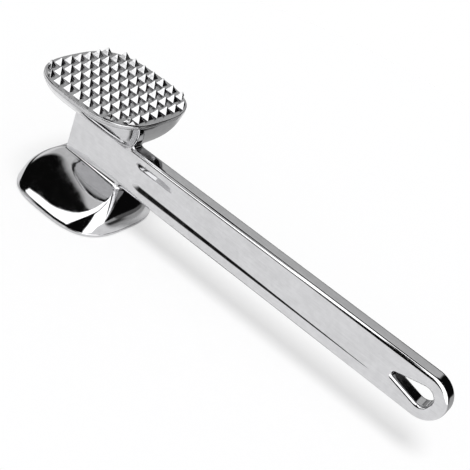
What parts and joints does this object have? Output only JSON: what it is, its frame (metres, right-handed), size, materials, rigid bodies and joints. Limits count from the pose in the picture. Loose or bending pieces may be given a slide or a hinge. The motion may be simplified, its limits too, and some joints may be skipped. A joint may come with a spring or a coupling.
{
  "type": "meat mallet",
  "caption": "Two-faced meat mallet: a spiked face and a smooth face on flared heads, joined by a flat bar handle with sunk grip panels and a tear-shaped hanging hole.",
  "frame": {"origin": "centre of the smooth striking face, which the mallet stands on", "axes": "+X along the handle, from the heads to its tip; +Z out of the spiked face; Y across the bar's thickness"},
  "size_m": [0.2228, 0.0576, 0.0637],
  "materials": {
    "polished_bar": "polished casting",
    "polished_heads": "mirror-polished casting",
    "spiked_face": "bright as-cast spikes"
  },
  "bodies": {
    "root": {"handle_bar": "polished_bar", "smooth_head": "polished_heads", "smooth_face_plate": "polished_heads", "spiked_head": "polished_heads", "spiked_face_plate": "spiked_face"}
  },
  "joints": []
}
